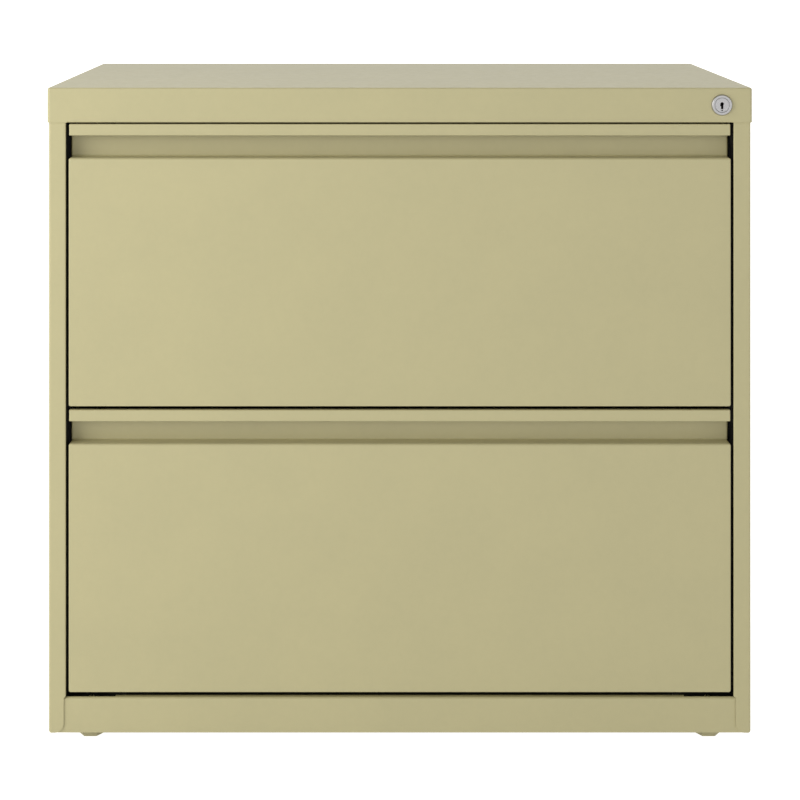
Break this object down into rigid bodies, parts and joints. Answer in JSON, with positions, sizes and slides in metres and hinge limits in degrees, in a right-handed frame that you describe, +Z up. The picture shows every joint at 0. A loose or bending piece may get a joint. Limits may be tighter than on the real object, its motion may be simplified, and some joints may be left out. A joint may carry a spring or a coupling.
{
  "type": "lateral filing cabinet",
  "caption": "Low wide steel filing cabinet with stacked full-width drawers, recessed full-width pulls, a plain cap, a corner lock and levelling feet.",
  "frame": {"origin": "on the floor, under the middle of the cabinet", "axes": "+X to the right as seen by a person facing the drawers, -Y the way the drawers open, +Z up"},
  "size_m": [0.762, 0.4754, 0.711],
  "materials": {
    "paint": "satin powder coat, putty",
    "black_coat": "matt black primer on the hidden posts, glide brackets and lock bar",
    "zinc_plate": "bright zinc plate",
    "satin_nickel": "satin nickel"
  },
  "bodies": {
    "cabinet": {"top_cap": "paint", "front_top_rail": "paint", "back_panel": "paint", "base_front_rail": "paint", "base_rear_rail": "paint", "side_panel_left": "paint", "side_panel_right": "paint", "post_front_left": "black_coat", "post_front_right": "black_coat", "post_rear_left": "black_coat", "post_rear_right": "black_coat", "glide_bracket_front_left": "black_coat", "glide_bracket_front_right": "black_coat", "glide_bracket_rear_left": "black_coat", "glide_bracket_rear_right": "black_coat", "lock_housing": "satin_nickel", "lock_nut": "zinc_plate", "lower_slide_cabinet_left": "zinc_plate", "lower_slide_cabinet_right": "zinc_plate", "upper_slide_cabinet_left": "zinc_plate", "upper_slide_cabinet_right": "zinc_plate"},
    "lower_drawer": {"lower_drawer_front": "paint", "lower_drawer_liner": "paint", "lower_drawer_bottom": "paint", "lower_drawer_back": "paint", "lower_hang_rail_front": "paint", "lower_hang_rail_rear": "paint", "lower_drawer_side_left": "paint", "lower_drawer_side_right": "paint", "lower_slide_drawer_left": "zinc_plate", "lower_slide_drawer_right": "zinc_plate"},
    "upper_drawer": {"upper_drawer_front": "paint", "upper_drawer_liner": "paint", "upper_drawer_bottom": "paint", "upper_drawer_back": "paint", "upper_hang_rail_front": "paint", "upper_hang_rail_rear": "paint", "upper_drawer_side_left": "paint", "upper_drawer_side_right": "paint", "upper_slide_drawer_left": "zinc_plate", "upper_slide_drawer_right": "zinc_plate"},
    "lower_slide_left": {"lower_slide_middle_left": "zinc_plate"},
    "lower_slide_right": {"lower_slide_middle_right": "zinc_plate"},
    "upper_slide_left": {"upper_slide_middle_left": "zinc_plate"},
    "upper_slide_right": {"upper_slide_middle_right": "zinc_plate"},
    "lock_plug_and_cam": {"lock_plug": "satin_nickel", "lock_cam": "zinc_plate"},
    "lock_bar_slider": {"lock_bar": "black_coat"},
    "glide_foot_front_left": {"glide_front_left": "paint"},
    "glide_foot_front_right": {"glide_front_right": "paint"},
    "glide_foot_rear_left": {"glide_rear_left": "paint"},
    "glide_foot_rear_right": {"glide_rear_right": "paint"}
  },
  "joints": [
    {"name": "lower_drawer_slide", "type": "slide", "parent": "cabinet", "child": "lower_drawer", "axis": [0, -1, 0], "range_m": [0, 0.395]},
    {"name": "upper_drawer_slide", "type": "slide", "parent": "cabinet", "child": "upper_drawer", "axis": [0, -1, 0], "range_m": [0, 0.395]},
    {"name": "lower_slide_middle_left_run", "type": "slide", "parent": "cabinet", "child": "lower_slide_left", "axis": [0, -1, 0], "range_m": [0, 0.1975]},
    {"name": "lower_slide_middle_right_run", "type": "slide", "parent": "cabinet", "child": "lower_slide_right", "axis": [0, -1, 0], "range_m": [0, 0.1975]},
    {"name": "upper_slide_middle_left_run", "type": "slide", "parent": "cabinet", "child": "upper_slide_left", "axis": [0, -1, 0], "range_m": [0, 0.1975]},
    {"name": "upper_slide_middle_right_run", "type": "slide", "parent": "cabinet", "child": "upper_slide_right", "axis": [0, -1, 0], "range_m": [0, 0.1975]},
    {"name": "lock_turn", "type": "hinge", "parent": "cabinet", "child": "lock_plug_and_cam", "pos_m": [0.3481, -0.2353, 0.6923], "axis": [0, 1, 0], "range_deg": [0, 90]},
    {"name": "lock_bar_drop", "type": "slide", "parent": "cabinet", "child": "lock_bar_slider", "axis": [0, 0, -1], "range_m": [0, 0.0099]},
    {"name": "glide_front_left_screw", "type": "slide", "parent": "cabinet", "child": "glide_foot_front_left", "axis": [0, 0, -1], "range_m": [0, 0.012]},
    {"name": "glide_front_right_screw", "type": "slide", "parent": "cabinet", "child": "glide_foot_front_right", "axis": [0, 0, -1], "range_m": [0, 0.012]},
    {"name": "glide_rear_left_screw", "type": "slide", "parent": "cabinet", "child": "glide_foot_rear_left", "axis": [0, 0, -1], "range_m": [0, 0.012]},
    {"name": "glide_rear_right_screw", "type": "slide", "parent": "cabinet", "child": "glide_foot_rear_right", "axis": [0, 0, -1], "range_m": [0, 0.012]}
  ],
  "couplings": [
    {"joint": "lower_slide_middle_left_run", "follows": "lower_drawer_slide", "ratio": 0.5},
    {"joint": "lower_slide_middle_right_run", "follows": "lower_drawer_slide", "ratio": 0.5},
    {"joint": "upper_slide_middle_left_run", "follows": "upper_drawer_slide", "ratio": 0.5},
    {"joint": "upper_slide_middle_right_run", "follows": "upper_drawer_slide", "ratio": 0.5},
    {"joint": "lock_turn", "follows": "lock_bar_drop", "rad_per_m": 158.66}
  ]
}
